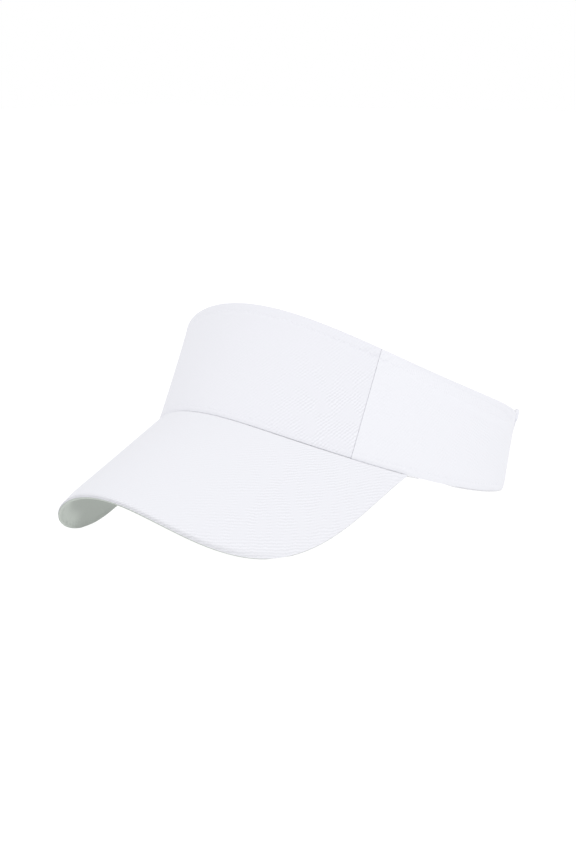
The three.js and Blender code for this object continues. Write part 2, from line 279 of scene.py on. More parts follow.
def edge_roll(distance, radius):
    """How far a folded edge has turned in at this distance from where it ends."""
    left = np.clip((radius - distance) / radius, 0, 1)
    return radius * (1 - np.sqrt(1 - left**2))


def columns(low, high, fine=0.5, at_mid=0.5):
    """Angles from low to high about `fine` mm apart, closer together at both ends."""
    guide = Row(low, high, lambda t: wall_top(t) * at_mid)
    end = np.array([0, 0.06, 0.14, 0.24, 0.36, 0.5, 0.66, 0.85, 1.1, 1.4])
    count = max(2, int((guide.length - 2 * end[-1]) / fine))
    middle = np.linspace(end[-1], guide.length - end[-1], count)
    s = np.concatenate([end[:-1], middle, guide.length - end[:-1][::-1]])
    return guide.angle(s), s


def slab(low, high, radius, rows, turn=7):
    """A flat layer with rounded edges, in section: its places from low to high, and which side each
    is on, from 1 on one face to -1 on the other."""
    a = spread(0, math.pi, turn)
    face = mix(low + radius, high - radius, spread(0, 1, rows))
    place = in_a_row(face, high - radius + radius * np.sin(a),
                     face[:, ::-1], low + radius - radius * np.sin(a))
    ones = np.ones((1, rows))
    return place, in_a_row(ones, np.cos(a), -ones, -np.cos(a))


mid_row = Row(-TAIL, FULL - SEAM, lambda t: wall_top(t) * 0.5)


def mid_place(t):
    return mid_row.place(t) - mid_row.place(0.0)


def cloth_map(along, up):
    """Each point's place on the flat cloth, from the places along it and up it."""
    return np.stack([np.broadcast_to(along[:, None], up.shape), up], -1)


FOOT_ROLL = 0.75  # mm radius of the fold along a panel's foot
TOP_ROLL = 0.8  # and of the fold along its top


def face_heights(foot, top):
    """Heights up a panel's outer face, closer together near its stitches."""
    rise = np.concatenate([np.linspace(FOOT_ROLL, 6, 18), [6.6, 7.4]])
    drop = np.concatenate([np.linspace(9, 2, 26), np.linspace(1.75, 0.85, 5)])
    middle = mix(foot + rise[-1], top - drop[0], spread(0, 1, 46)[:, 1:-1])
    return in_a_row(np.tile(foot + rise, (len(top), 1)), middle, top - drop)


def panel_face(t, face_h, seed):
    """A panel's outer face: how far out it lies, and how far its ends are turned in."""
    tt = t[:, None] + 0 * face_h
    relief = band_relief(np.where(tt > math.pi, tt - FULL, tt), face_h, seed)
    place = wall_face(tt, face_h)
    to_ends = [np.linalg.norm(place - wall_face(end, face_h), axis=-1) for end in (tt[:1], tt[-1:])]
    to_end = np.minimum(*to_ends)
    turned = edge_roll(to_end, 0.31 + 0.09 * np.sin(FULL * face_h / 3.3 + np.sin(face_h / 5)))
    return relief * ease(to_end, 0.0, 1.2) - turned, turned


def panel(name, low, high, seed):
    """One twill panel: its top edge is turned over, its foot and its ends are turned in."""
    t, s = columns(low, high)
    top = wall_top(t)[:, None]
    foot = 0.3 if low < 0 < high else 0.1
    face_h = face_heights(foot, top)
    relief, turned = panel_face(t, face_h, seed)

    def section(h, out):
        size = (len(t), np.broadcast(h, out).shape[-1])
        return np.broadcast_to(h, size), np.broadcast_to(out, size)

    a = spread(0, math.pi, 11)[:, 1:]
    roll = section(top - TOP_ROLL + TOP_ROLL * np.sin(a),
                   TOP_ROLL * (np.cos(a) - 1) - turned[:, -1:] * (1 + np.cos(a)) / 2)
    a = spread(math.pi, 0, 5)
    inside_roll = section(top - 0.78 + 0.2 * np.sin(a), 0.2 * np.cos(a) - TOP_ROLL)
    inner = section(mix(top - 1.2, foot + 1.1, spread(0, 1, 12)),
                    -PLY - np.minimum(turned.max(1), 0.22)[:, None])
    shelf = section(foot + np.array([[0.6, 0.58, 0.54, 0.06, 0.0]]),
                    np.array([[-0.75, -1.05, -1.8, -1.86, -1.7]]))
    a = spread(math.pi / 2, 0, 9)[:, :-1]
    drawn = np.where(turned[:, :1] > 0.3, 0, relief[:, :1]) - turned[:, :1]
    curl = section(foot + FOOT_ROLL * (1 - np.sin(a)), FOOT_ROLL * (np.cos(a) - 1) + drawn * np.cos(a))
    parts = ((face_h, relief), roll, inside_roll, inner, shelf, curl)
    rings = wall(t[:, None], *(in_a_row(*values) for values in zip(*parts)))
    gaps = np.linalg.norm(np.diff(rings, axis=1), axis=2)
    up = TOP_ROLL + in_a_row(np.zeros((len(t), 1)), np.cumsum(gaps, 1))
    return loft(name, rings, cloth_map(s + mid_place(low), up))


def wall_sheet(name, low, high, foot, top, inner, outer, fine=1.0, rows=24, relief=None):
    """A plain layer of cloth on the band's wall, with rounded edges."""
    t, s = columns(low, high, fine)
    foot, top = foot(t)[:, None], top(t)[:, None]
    h, side = slab(foot, top, (outer - inner) / 2, rows)
    out = (inner + outer) / 2 + (outer - inner) / 2 * side + 0 * h
    if relief is not None:
        out += relief(t[:, None] + 0 * h, h, foot, top)
    return loft(name, wall(t[:, None], h, out), cloth_map(s + mid_place(low), h))


# ---- Stitches ----


def tubes(name, spines, binormals, radii):
    """Round threads along spines, an array of threads by points by 3. Each lies in a plane, whose
    normal is its binormal, and radii gives its radius at each point."""
    sides = 6
    threads, count = spines.shape[:2]
    ahead = unit(np.gradient(spines, axis=1))
    binormals = binormals[:, None] + 0 * ahead
    normals = unit(np.cross(binormals, ahead))
    a = (np.arange(sides) * FULL / sides)[:, None]
    around = normals[:, :, None] * np.cos(a) + binormals[:, :, None] * np.sin(a)
    points = spines[:, :, None] + around * radii[:, None, None]
    thread = facing_out(points[0].reshape(-1, 3), ring_faces(count, sides) + end_caps(count, sides))
    faces = [[v + i * count * sides for v in face] for i in range(threads) for face in thread]
    return new_piece(name, points.reshape(-1, 3), faces)


def stitches(name, centres, tangents, normals, length=2.35, radius=0.17, sink=0.24):
    """Rows of short stitches, each a thread that dives into the cloth at both ends."""
    x = np.linspace(-1, 1, 9)
    spines = (centres[:, None] + tangents[:, None] * (x * length / 2)[:, None]
              - normals[:, None] * (sink * np.abs(x) ** 3)[:, None])
    return tubes(name, spines, unit(np.cross(tangents, normals)), radius * (1 - 0.45 * np.abs(x) ** 4))


def along_wall(row, first, last, height, lift, face=1):
    """Centres, directions and normals of the stitches on a row between two angles. lift(t, h) is how
    far out they lie, and face is -1 where they show on the inside of the wall."""
    begin, end = row.place(first), row.place(last)
    s = (np.arange(math.ceil(begin / STITCH), math.floor(end / STITCH)) + 0.5) * STITCH

    def at(s):
        t = row.angle(s)
        return wall(t, height(t), lift(t, height(t)))

    t = row.angle(s)
    return at(s), unit(at(s + 0.4) - at(s - 0.4)), face * wall_normal(t, height(t))


def up_wall(t, low, high, lift, face=1):
    """The same for a row that climbs the wall at angle t."""
    h = np.arange(low + STITCH / 2, high - STITCH / 2, STITCH)
    tt = t + 0 * h
    ahead = wall(tt, h + 0.4, lift(tt, h + 0.4)) - wall(tt, h - 0.4, lift(tt, h - 0.4))
    return wall(tt, h, lift(tt, h)), unit(ahead), face * wall_normal(tt, h)


def joined(*groups):
    return [np.concatenate(parts) for parts in zip(*groups)]


# ---- Materials ----


class Finish:
    """A material under construction: a node tree with one shader."""

    def __init__(self, name, roughness, sheen=0.0, specular=0.5):
        self.material = bpy.data.materials.new(name)
        self.material.use_nodes = True
        self.tree = self.material.node_tree
        self.shader = self.tree.nodes["Principled BSDF"]
        self.feed(self.shader, {"Roughness": roughness, "Sheen Weight": sheen,
                                "Sheen Roughness": 0.5, "Specular IOR Level": specular})

    def feed(self, node, inputs):
        """Gives each input its value, or links it to another node's output."""
        for key, value in inputs.items():
            if isinstance(value, bpy.types.NodeSocket):
                self.tree.links.new(value, node.inputs[key])
            else:
                node.inputs[key].default_value = value

    def node(self, kind, inputs, **settings):
        """Adds a node, and returns its outputs."""
        made = self.tree.nodes.new(kind)
        for key, value in settings.items():
            setattr(made, key, value)
        self.feed(made, inputs)
        return made.outputs

    def math(self, operation, *values):
        return self.node("ShaderNodeMath", dict(enumerate(values)), operation=operation)[0]

    def map_place(self, name):
        """The two values of a map, and the map itself."""
        uv = self.node("ShaderNodeUVMap", {}, uv_map=name)[0]
        place = self.node("ShaderNodeSeparateXYZ", {0: uv})
        return place[0], place[1], uv

    def cloth(self):
        """The place on the flat cloth, in millimetres."""
        return self.map_place("cloth")

    def edge(self):
        """Millimetres from the bill's rim, and the place ahead on the bill's cloth."""
        return self.map_place("edge")[:2]

    def body(self):
        return self.node("ShaderNodeTexCoord", {})["Object"]

    def noise(self, place, scale, detail=2.0):
        return self.node("ShaderNodeTexNoise", {"Vector": place, "Scale": scale, "Detail": detail})[0]

    def cells(self, place, scale):
        return self.node("ShaderNodeTexVoronoi", {"Vector": place, "Scale": scale})["Distance"]

    def wave(self, phase):
        """0 to 1 and back, once for each whole number of phase."""
        turned = self.math("SINE", self.math("MULTIPLY", phase, FULL))
        return self.math("MULTIPLY_ADD", turned, 0.5, 0.5)

    def ranged(self, value, start, end, low, high, kind="SMOOTHSTEP"):
        """low where the value is at its start and high where it is at its end."""
        inputs = {"Value": value, "From Min": start, "From Max": end, "To Min": low, "To Max": high}
        return self.node("ShaderNodeMapRange", inputs, interpolation_type=kind)[0]

    def falling(self, value, full, none):
        """1 up to full, then down to 0 at none."""
        return self.ranged(value, full, none, 1, 0)

    def blend(self, share, a, b, kind):
        made = self.node("ShaderNodeMix", {"Factor": share, "A": a, "B": b},
                         data_type="RGBA", blend_type=kind)
        self.feed(self.shader, {"Base Color": made["Result"]})

    def colours(self, height, low, high):
        self.blend(height, (*low, 1), (*high, 1), "MIX")

    def along_rim(self, gain, near, zone):
        """Paints the cloth darker (painted shade) or paler (painted light) along the bill's rim: fully up
        to the first distance in `near`, no more at the second, and only within the zone."""
        share = self.math("MULTIPLY", self.falling(self.edge()[0], *near), zone)
        colour = self.shader.inputs["Base Color"].links[0].from_socket
        self.blend(share, colour, (gain, gain, gain, 1), "MULTIPLY")

    def bump(self, height, depth_mm, strength):
        inputs = {"Height": height, "Distance": depth_mm * MM, "Strength": strength}
        self.feed(self.shader, {"Normal": self.node("ShaderNodeBump", inputs)[0]})

    def rough(self, height, low, high):
        self.feed(self.shader, {"Roughness": self.ranged(height, 0, 1, low, high, "LINEAR")})


def rib_strength(f, faded, tall, rim):
    """How clearly a twill's ribs show: in soft patches, and as twill() says."""
    x, y, uv = f.cloth()
    strength = f.ranged(f.noise(uv, 0.13), 0.36, 0.62, 0.1, 1.8)
    if faded:
        shown = f.ranged(f.math("ABSOLUTE", x), *faded, 0.15, 1)
        strength = f.math("MULTIPLY", strength, shown)
    if tall:
        shown = f.ranged(y, *tall, 1, 0.25)
        strength = f.math("MULTIPLY", strength, shown)
    # Near the rim the ribs show more: a deeper bump, and painted shade in their valleys.
    if rim:
        full_rib = f.ranged(x, *RIM_SHADE, 1, 0.15)
        painted_rim_rib_shade = f.math("MULTIPLY", f.falling(f.edge()[0], 0.5, 4.0), full_rib)
        strength = f.math("MULTIPLY_ADD", painted_rim_rib_shade, rim, strength)
    return strength


def twill(name, pitch, steep, contrast, top, cross=0.3, faded=None, tall=None, painted_front_light=None, rim=None):
    """Cotton twill: ribs `pitch` mm apart at `steep` degrees, over a faint cross weave.

    Where the cloth is pulled smooth the ribs are faint: nearer its middle than the two distances of
    `faded`, and higher than the two of `tall`. `rim` is how much more the ribs show where they are
    stretched round the bill's rim, in bump and in painted shade in their valleys, and a rim also gets
    a band of painted shade along it. The front light argument is how much paler the cloth is painted
    at its front, as painted light."""
    f = Finish(name, 0.9, sheen=0.06, specular=0.2)
    x, y, uv = f.cloth()

    def phase(pitch, degrees, wander):
        a = math.radians(degrees)
        along = f.math("MULTIPLY", x, math.sin(a) / pitch)
        line = f.math("MULTIPLY_ADD", y, -math.cos(a) / pitch, along)
        return f.math("MULTIPLY_ADD", f.noise(uv, 0.07, 1.0), wander, line)

    ribs = f.wave(f.math("MULTIPLY_ADD", f.noise(uv, 0.45, 1.0), 0.9, phase(pitch, steep, 1.2)))
    yarns = f.wave(phase(pitch * 1.1, steep - 74, 1.6))
    slubs = f.noise(uv, 0.9)
    height = f.math("MULTIPLY_ADD", yarns, cross, f.math("MULTIPLY", ribs, 1 - cross))
    strength = rib_strength(f, faded, tall, rim)
    height = f.math("MULTIPLY_ADD", f.math("SUBTRACT", height, 0.5), strength, 0.5)
    height = f.math("MULTIPLY_ADD", f.math("SUBTRACT", slubs, 0.5), 0.35, height)
    # The low parts of the height are painted darker: painted shade in the valleys between the ribs, with the
    # slubs' uneven tone.
    f.colours(height, tuple(c * (1 - contrast) for c in top), top)
    # Painted shade: the cloth is painted darker within about 2 mm of the bill's rim.
    if rim:
        f.along_rim(0.88, (0.7, 2.2), f.falling(x, *RIM_SHADE))
    # Painted light: the cloth is painted paler within a few mm of the rim, towards the bill's front.
    if painted_front_light:
        f.along_rim(painted_front_light, (3.0, 8.5), f.falling(f.edge()[1], -30.0, -12.0))
    f.bump(height, 0.05, 0.6)
    f.rough(slubs, 0.84, 0.96)
    return f.material


def plain_weave(name, pitch, low, high, depth=0.06, roughness=0.9, open_share=0.0):
    f = Finish(name, roughness, sheen=0.08, specular=0.25)
    x, y, uv = f.cloth()
    wobble = f.math("MULTIPLY", f.noise(uv, 0.3, 1.0), 0.5)
    warp = f.wave(f.math("DIVIDE", f.math("ADD", x, wobble), pitch))
    weft = f.wave(f.math("DIVIDE", f.math("ADD", y, wobble), pitch))
    if open_share:
        height = f.math("MAXIMUM", f.math("POWER", warp, open_share), f.math("POWER", weft, open_share))
    else:
        height = f.math("MULTIPLY", warp, weft)
    slubs = f.noise(uv, 1.6, 3.0)
    height = f.math("MULTIPLY_ADD", slubs, 0.35, height)
    f.colours(f.math("MULTIPLY", height, 0.8), low, high)
    f.bump(height, depth, 0.8)
    f.rough(slubs, roughness - 0.06, roughness + 0.05)
    return f.material


def tape_cloth(name):
    """Herringbone tape: the twill turns back on itself every few millimetres."""
    f = Finish(name, 0.88, sheen=0.1, specular=0.25)
    x, y, uv = f.cloth()
    zigzag = f.math("PINGPONG", x, 3.0)
    ribs = f.wave(f.math("DIVIDE", f.math("ADD", zigzag, y), 0.9))
    slubs = f.noise(uv, 2.0, 3.0)
    height = f.math("MULTIPLY_ADD", slubs, 0.4, ribs)
    f.colours(f.math("MULTIPLY", height, 0.75), (0.80, 0.80, 0.82), (0.89, 0.89, 0.91))
    f.bump(height, 0.08, 0.8)
    f.rough(slubs, 0.82, 0.94)
    return f.material


def terry_cloth(name):
    """Looped pile: small uneven tufts with shade between them."""
    f = Finish(name, 0.97, sheen=0.3, specular=0.15)
    place = f.body()
    tufts = f.math("SUBTRACT", 1.0, f.math("MULTIPLY", f.cells(place, 950), 1.1))
    fibres = f.noise(place, 2600, 3.0)
    height = f.math("MULTIPLY_ADD", fibres, 0.35, tufts)
    f.colours(height, (0.76, 0.76, 0.775), (0.90, 0.90, 0.915))
    f.bump(height, 0.35, 0.9)
    f.rough(fibres, 0.9, 1.0)
    return f.material


def pile_cloth(name, scale, low, high, depth, roughness):
    f = Finish(name, roughness, sheen=0.2, specular=0.2)
    place = f.body()
    fibres = f.noise(place, scale, 4.0)
    height = f.math("MULTIPLY_ADD", f.cells(place, scale * 0.6), 0.5, fibres)
    f.colours(height, low, high)
    f.bump(height, depth, 0.8)
    f.rough(fibres, roughness - 0.08, min(roughness + 0.05, 1.0))
    return f.material


def thread_finish(name):
    f = Finish(name, 0.6, sheen=0.1, specular=0.4)
    twist = f.noise(f.body(), 3500)
    f.colours(twist, (0.765, 0.7695, 0.81), (0.85, 0.855, 0.90))
    f.bump(twist, 0.04, 0.6)
    return f.material


def moulded(name, low, high, roughness):
    f = Finish(name, roughness, specular=0.5)
    grain = f.noise(f.body(), 700, 3.0)
    f.colours(grain, low, high)
    f.bump(grain, 0.03, 0.5)
    f.rough(grain, roughness - 0.08, roughness + 0.1)
    return f.material


def satin_finish(name):
    f = Finish(name, 0.4, sheen=0.1, specular=0.5)
    _, y, uv = f.cloth()
    weft = f.wave(f.math("DIVIDE", y, 0.22))
    slubs = f.noise(uv, 1.2)
    height = f.math("MULTIPLY_ADD", slubs, 0.5, weft)
    f.colours(f.math("MULTIPLY", height, 0.7), (0.88, 0.88, 0.885), (0.95, 0.95, 0.95))
    f.bump(height, 0.02, 0.6)
    f.rough(slubs, 0.32, 0.48)
    return f.material


COTTON = (0.808, 0.812, 0.853)
FRONT_COTTON = (0.820, 0.823, 0.868)
# Grey-green under cloth, painted somewhat darker than its own colour: painted shade under the bill, which the
# bright floor lights.
UNDER_COTTON = (0.40, 0.43, 0.40)
FRONT_TWILL = twill("front_twill", 1.46, 57, 0.10, FRONT_COTTON, cross=0.28, faded=(20, 74),
                    tall=(26, 52))
SIDE_TWILL = twill("side_twill", 1.4, 57, 0.02, COTTON)
BILL_TWILL = twill("bill_twill", BILL_RIB, BILL_STEEP, 0.075, COTTON, cross=0.2, faded=(30, 75),
                   rim=3.4)
# The under cover is painted paler near the front of its rim: painted light.
UNDER_TWILL = twill("bill_under_twill", BILL_RIB, BILL_STEEP, 0.10, UNDER_COTTON, painted_front_light=1.3)
LINING = plain_weave("lining_weave", 0.7, (0.80, 0.80, 0.815), (0.89, 0.89, 0.905))
BUCKRAM = plain_weave("buckram_mesh", 1.5, (0.62, 0.61, 0.57), (0.86, 0.85, 0.81), 0.18, 0.8, 3.0)
TAPE = tape_cloth("herringbone_tape")
TERRY = terry_cloth("terry_loops")
FELT = pile_cloth("core_fibres", 1500, (0.70, 0.69, 0.64), (0.83, 0.82, 0.77), 0.2, 0.95)
PILE = pile_cloth("loop_fibres", 2200, (0.78, 0.78, 0.79), (0.92, 0.92, 0.93), 0.12, 0.8)
THREAD = thread_finish("white_thread")
BOARD = moulded("bill_board_sheet", (0.74, 0.75, 0.73), (0.84, 0.85, 0.83), 0.45)
NYLON = moulded("hook_nylon", (0.84, 0.84, 0.84), (0.92, 0.92, 0.92), 0.4)
SATIN = satin_finish("label_satin_weave")


def finish(piece, material, slot, *nodes, body="visor"):
    """Gives a piece its material, hides the CAD nodes that it stands for and gives it its body.
    The slot is not used.
    """
    piece.data.materials.append(material)
    if nodes:
        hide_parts(*nodes)
    if body:
        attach(piece, body)
    return piece


# ---- Band pieces ----
CLEAR = 0.0004  # angle that a panel stops short of its seam
SEEDS = (3, 5, 8)  # for the front, left and right panels
# mm inside the panels' outer face at which the layers behind them lie
UNDER_PANEL, UNDER_LINING, TAPE_BACK, SWEAT_FACE = -0.88, -1.72, -2.2, -3.5
front = finish(panel("forehead_panel", -SEAM + CLEAR, SEAM - CLEAR, SEEDS[0]),
               FRONT_TWILL, "white_twill", "front_panel")
left = finish(panel("left_panel", SEAM + CLEAR, TAIL, SEEDS[1]),
              SIDE_TWILL, "white_twill", "side_panel_left")
right = finish(panel("right_panel", FULL - TAIL, FULL - SEAM - CLEAR, SEEDS[2]),
               SIDE_TWILL, "white_twill", "side_panel_right")


def inner_top(t):
    return wall_top(t) - 0.85


def backing(name, low, high, inner):
    return wall_sheet(name, low, high, constant(0.95), inner_top, inner, UNDER_PANEL)


stiffener = finish(backing("buckram_backing", -SEAM + 0.01, SEAM - 0.01, -1.45),
                   BUCKRAM, "buckram", "front_stiffener")
lining_left = finish(backing("left_lining", SEAM + CLEAR, TAIL - 0.02, -1.33),
                     LINING, "lining_cloth", "side_lining_left")
lining_right = finish(backing("right_lining", FULL - TAIL + 0.02, FULL - SEAM - CLEAR, -1.33),
                      LINING, "lining_cloth", "side_lining_right")


def tape_relief(t, h, foot, top):
    """Tapes are drawn in where the rows of stitches cross them."""
    ripple = 0.05 * np.sin(AROUND * t / 1.4) * bell(h - foot, 1.5)
    return ripple + 0.10 * bell(top_height(t) - h, 0.9)


facing = finish(
    wall_sheet("facing_tape", -TAIL, TAIL, lambda t: wall_top(t) - 10.8, inner_top, TAPE_BACK,
               UNDER_LINING, fine=0.7, relief=tape_relief),
    TAPE, "lining_cloth", "top_facing_tape")


def band_top(t):
    """Height of the sweatband's top."""
    return 25 + 3 * np.cos(t)


def hem_height(t):
    return band_top(t) - 3.0


for name, node, seam in (("left_seam_tape", "seam_tape_left", SEAM),
                         ("right_seam_tape", "seam_tape_right", -SEAM)):
    strip = wall_sheet(name, seam - 0.065, seam + 0.065, lambda t: band_top(t) + 0.7,
                       lambda t: wall_top(t) - 11.5, TAPE_BACK, UNDER_LINING, fine=0.5)
    finish(strip, TAPE, "lining_cloth", node)


def sweat_relief(t, h):
    """The sweatband swells over its foam and is drawn in along its hem."""
    over_core = 1 - ease(np.abs(t), 1.25, 1.5)
    middle = np.clip((h - 2.5) / (band_top(t) - 5.5), 0, 1)
    swell = 1.1 * over_core * np.sin(math.pi * middle) ** 0.6
    soft = 0.25 * waves(t, h, 21, 6)
    s = AROUND * t
    tufts = 0.09 * np.sin(s * 5.1 + 2 * np.sin(h * 3.7)) * np.sin(h * 5.3 + 2 * np.sin(s * 2.9))
    hem = 0.35 * bell(h - hem_height(t), 0.8)
    return -swell - soft * np.sin(math.pi * middle) - tufts + hem


def sweatband():
    """Terry strip inside the band, hemmed at its top and rolled under the panels' feet."""
    t, s = columns(-TAIL, TAIL, 0.8, 0.2)
    tt = t[:, None]
    rolled = ease(np.abs(tt), CORNER + 0.16, CORNER + 0.34)
    at_nape = ease(np.abs(tt), 2.4, TAIL - 0.05) * ease(tt, -2.7, 0)
    reach = mix(-2.45, -0.8, rolled)
    crease = mix(1.2, 0.05, rolled)
    foot = crease - mix(0.25, 0.6, ease(tt, -1.6, 1.6)) - 0.5 * at_nape
    low = foot - 0.3 * at_nape
    top = band_top(tt)
    inner_h = mix(top - 0.5, low + 0.6, spread(0, 1, 44))
    inner_out = SWEAT_FACE + sweat_relief(tt + 0 * inner_h, inner_h) * ease(inner_h - low, 0.3, 2.5)
    a = spread(0, math.pi / 2, 5)[:, 1:]
    heel_h, heel_out = low + 0.6 - 0.6 * np.sin(a), inner_out[:, -1:] + 0.6 * (1 - np.cos(a))
    share = spread(0, 1, 6)[:, 1:]
    sole_h, sole_out = mix(low, foot, share), mix(-2.9, reach - 0.3, share)
    a = spread(-math.pi / 2, math.pi / 2, 9)
    half = (crease - foot) / 2
    toe_h, toe_out = foot + half + half * np.sin(a), reach - 0.3 + 0.3 * np.cos(a)
    back_h = mix(crease + 0.4, top - 0.5, spread(0, 1, 10))
    a = spread(0, math.pi, 8)[:, 1:-1]
    cap_h, cap_out = top - 0.5 + 0.5 * np.sin(a), -3.0 + 0.45 * np.cos(a) + 0 * top
    h = in_a_row(inner_h, heel_h, sole_h, toe_h, crease + 0.02 + 0 * top, back_h, cap_h)
    out = in_a_row(inner_out, heel_out, sole_out, toe_out, -2.5 + 0 * top, -2.55 + 0 * back_h, cap_out)
    rings = wall(tt, h, out + 0.8 * ease(h, top - 2.0, top - 0.4))
    rings[..., 2] = np.maximum(rings[..., 2], -SHIFT[2])
    return loft("terry_sweatband", rings, cloth_map(s + mid_place(-TAIL), h))


sweat = finish(sweatband(), TERRY, "terry", "sweatband")
core = finish(
    wall_sheet("sweatband_foam", -1.5, 1.5, constant(1.95), lambda t: band_top(t) - 2.1, -2.3,
               UNDER_LINING, fine=1.2),
    FELT, "core_felt", "sweatband_core")

# ---- Bill ----
rim_corner = lower_edge(CORNER)
front_y = lower_edge(0.0)[1] - REACH
RIM_PLAN = np.array([rim_corner[:2],
                     rim_corner[:2] + SIDE_HANDLE * np.array([math.sin(SIDE_LEAN), -math.cos(SIDE_LEAN)]),
                     [FRONT_HANDLE, front_y],
                     [0.0, front_y]])
RIM_Z = np.array([rim_corner[2], *RIM_HEIGHTS])
CLOTH_LEVEL = -118.0  # where the flat cloth's zero line crosses the bill
RIM_SHARE = 0.62  # the bill is pressed thinner along its rim
RIM_TURN = 0.95  # mm radius of the turn round the rim
RIM_SEAM = math.radians(68)  # where on that turn the two covers meet
BOARD_THICK, BOARD_INSET = 1.2, 2.2
RIM_RIB = 0.28  # mm height of the twill's ribs where they are stretched round the rim
BILL_SEED = 4
angle_table = np.linspace(0, CORNER, 8001)
width_table = lower_edge(angle_table)[:, 0]


def bezier(values, u):
    row = [value + 0 * u for value in values]
    while len(row) > 1:
        row = [a + (b - a) * u for a, b in zip(row, row[1:])]
    return row[0]


def bill_line(u):
    """(band point, rim point) of the bill's straight line at u, from the corner 0 to the middle 1."""
    rim = np.stack([bezier(row, u) for row in (*RIM_PLAN.T, RIM_Z)], -1)
    return lower_edge(np.interp(rim[..., 0], width_table, angle_table)), rim


def bill_face(u, v):
    band, rim = bill_line(u)
    return band + (rim - band) * v[..., None]


def rim_slant(u):
    """Distance to the rim for each mm of a line, which meets the rim at a slant."""
    x, y = (bezier(row, u + STEP) - bezier(row, u - STEP) for row in RIM_PLAN.T)
    return np.abs(x) / np.hypot(x, y)


def bill_normal(u, v):
    along = bill_face(u + STEP, v) - bill_face(u - STEP, v)
    normal = unit(np.cross(along, bill_face(u, v + 0.01) - bill_face(u, v - 0.01)))
    return np.where(normal[..., 2:] < 0, -normal, normal)


def bill_relief(points):
    """The low, slow undulation of the cloth over the board."""
    draw = np.random.default_rng(BILL_SEED)
    total = np.zeros(points.shape[:-1])
    for _ in range(6):
        angle, phase = draw.uniform(0, FULL, 2)
        reach = draw.uniform(7, 18)
        across = points[..., 0] * math.cos(angle) + points[..., 1] * math.sin(angle)
        total += np.sin(across / reach + phase)
    return 0.035 * total


def bill_cloth(band, rim, v):
    """Places across and ahead on the flat cloth of the bill's left half."""
    fall = (band[..., 2] - rim[..., 2]) / np.maximum(band[..., 1] - rim[..., 1], 0.5)
    level = band[..., 2] - fall * (band[..., 1] - CLOTH_LEVEL)
    steps = np.hypot(np.diff(band[:, 0, 0]), np.diff(level[:, 0]))
    across = np.concatenate([np.cumsum(steps[::-1])[::-1], [0]])[:, None] + 0 * v
    ahead = (band[..., 1] - (band[..., 1] - rim[..., 1]) * v - CLOTH_LEVEL) * np.hypot(1, fall)
    return across, ahead


def rim_ribs(across, ahead, from_rim):
    """Height of the ribs where the twill is stretched round the rim."""
    steep = math.radians(BILL_STEEP)
    phase = (across * math.sin(steep) - ahead * math.cos(steep)) / BILL_RIB
    clear = mix(1.2, 0.25, ease(across, *RIM_SHADE))
    return clear * RIM_RIB * bell(from_rim, 2.0) * np.sin(FULL * phase)


def bill_rings(outline, rows, start, soft=True):
    """Rings from the left corner round to the right one. outline(reach, length) gives v and depth,
    where reach is the room across a line."""
    u = start + (0.999 - start) * spread(0, 1, rows).T ** 0.85
    band, rim = bill_line(u)
    length = np.linalg.norm(rim - band, axis=-1)
    reach = length * rim_slant(u)
    v, depth = outline(reach, length)
    from_rim = (1 - v) * reach
    slim = mix(1.3 / STACK, 1.0, ease(length, 0, 16)) * mix(1.0, RIM_SHARE, bell(from_rim, 5.0))
    normal = bill_normal(u + 0 * v, v)
    points = bill_face(u, v) + normal * ((STACK * v - depth) * slim)[..., None]
    if soft:
        points = points + normal * (bill_relief(points) * ease((1 - v) * length, 0.5, 5))[..., None]
    across, ahead = bill_cloth(band, rim, v)
    outward = unit((rim - band) * np.array([1, 1, 0])) * 0.8 + normal * 0.6
    halves = []
    for side in (1, -1):
        ribs = rim_ribs(side * across, ahead, from_rim)[..., None]
        halves.append((points + outward * ribs) * np.array([side, 1, 1]))
    middle = (halves[0][-1:] + halves[1][-1:]) / 2
    rings = np.concatenate([halves[0], middle, halves[1][::-1]])
    rings[..., 2] = np.maximum(rings[..., 2], -SHIFT[2])
    cloth, edge = np.stack([across, ahead], -1), np.stack([from_rim, ahead], -1)
    cloth = np.concatenate([cloth, cloth[-1:] * np.array([0, 1]), cloth[::-1] * np.array([-1, 1])])
    return rings, cloth, np.concatenate([edge, edge[-1:], edge[::-1]])


def rim_turn(far, first, last, inset, count):
    """v and depth round the rim's edge, from one angle to another: 0 is the top, pi the underside."""
    a = spread(first, last, count)
    v = far + (1 - far) * np.sin(a) * (1 - inset / RIM_TURN)
    return v, STACK / 2 - (STACK / 2 - inset) * np.cos(a) + 0 * v


def bill_edges(reach, length):
    """v where a cover starts beside the band, and where its turn round the rim starts."""
    gap = np.minimum(0.06 / np.maximum(length, 1e-6), 0.2)
    turn = np.minimum(RIM_TURN, 0.8 * reach)
    return gap, np.maximum(1 - turn / np.maximum(reach, 1e-6), gap + 0.02)


def cover_outline(reach, length):
    """The top cover: over the bill, and round the upper part of its rim to the seam."""
    gap, far = bill_edges(reach, length)
    start_v = gap + np.zeros((1, 2))
    start_d = np.array([[0.45, 0.15]]) + 0 * start_v
    face_v = mix(gap, far, spread(0, 1, 44))
    face_d = np.where(np.arange(44)[None] < 1, 0.04, 0.0) + 0 * face_v
    over_v, over_d = rim_turn(far, 0, RIM_SEAM, 0, 12)
    in_v, in_d = rim_turn(far, RIM_SEAM, 0, PLY * 0.7, 6)
    home_v = mix(far, gap, spread(0, 1, 10)[:, 1:])
    return (in_a_row(start_v, face_v, over_v[:, 1:], in_v, home_v),
            in_a_row(start_d, face_d, over_d[:, 1:], in_d, PLY + 0 * home_v))


